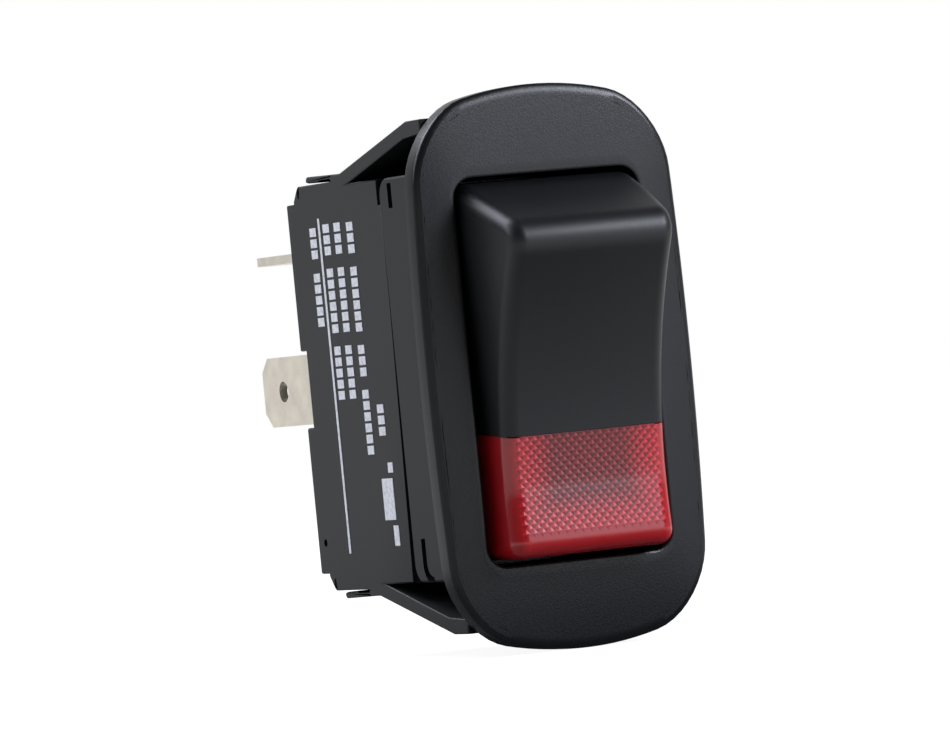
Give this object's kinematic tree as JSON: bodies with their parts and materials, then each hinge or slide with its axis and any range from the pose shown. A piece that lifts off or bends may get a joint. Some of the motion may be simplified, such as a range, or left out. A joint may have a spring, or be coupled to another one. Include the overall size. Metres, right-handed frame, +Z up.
{
  "type": "panel rocker switch",
  "caption": "Snap-in panel rocker switch: arched bezel frame, tilting rocker with a red lamp lens, see-saw contact bar and blade terminals at the back.",
  "frame": {"origin": "middle of the rocker aperture in the plane of the bezel flange's back face, which is the panel's front face", "axes": "+X to the right seen from the front, +Y into the panel towards the terminals, +Z up along the bezel's long axis; the lens end of the rocker is the lower one"},
  "size_m": [0.026, 0.0501, 0.0494],
  "materials": {
    "bezel_plastic": "satin black moulding",
    "base_plastic": "satin black moulding",
    "rocker_plastic": "fine matt black moulding",
    "lens_plastic": "clear red moulding, prisms inside",
    "tinned_brass": "tin plated",
    "silver_contact": "silver alloy",
    "bronze_strip": "rolled",
    "rivet_brass": "plain",
    "copper_bar": "rolled copper alloy",
    "lamp_glass": "clear",
    "electrode_metal": "drawn",
    "lead_wire": "tinned wire",
    "resistor_body": "dipped",
    "spring_steel": "drawn wire",
    "plunger_plastic": "plain moulding"
  },
  "bodies": {
    "housing": {"bezel_frame": "bezel_plastic", "base": "base_plastic", "line_terminal": "tinned_brass", "load_terminal": "tinned_brass", "lamp_terminal": "tinned_brass", "fixed_contact": "silver_contact", "feed_leaf": "bronze_strip", "earth_leaf": "bronze_strip", "feed_rivet": "rivet_brass", "earth_rivet": "rivet_brass"},
    "rocker": {"rocker": "rocker_plastic", "lens": "lens_plastic", "lamp_bulb": "lamp_glass", "lamp_filament": "electrode_metal", "feed_lead": "lead_wire", "earth_lead": "lead_wire", "lamp_resistor": "resistor_body", "feed_ring": "bronze_strip", "earth_ring": "bronze_strip", "plunger_spring": "spring_steel"},
    "plunger": {"plunger": "plunger_plastic"},
    "contact_bar": {"contact_bar": "copper_bar", "moving_contact": "silver_contact"}
  },
  "joints": [
    {"name": "rocker_tilt", "type": "hinge", "parent": "housing", "child": "rocker", "pos_m": [0, 0.0008, 0], "axis": [1, 0, 0], "range_deg": [-24.5, 0]},
    {"name": "plunger_slide", "type": "slide", "parent": "rocker", "child": "plunger", "axis": [0, -0.9772, -0.2122], "range_m": [0, 0.0008], "stiffness_N_per_m": 300, "springref_m": -0.0033, "deforming": ["plunger_spring"]},
    {"name": "bar_swing", "type": "hinge", "parent": "housing", "child": "contact_bar", "pos_m": [-0.0064, 0.0178, 0], "axis": [1, 0, 0], "range_deg": [0, 13.97]}
  ],
  "couplings": [
    {"joint": "bar_swing", "follows": "rocker_tilt", "ratio": -0.57}
  ]
}
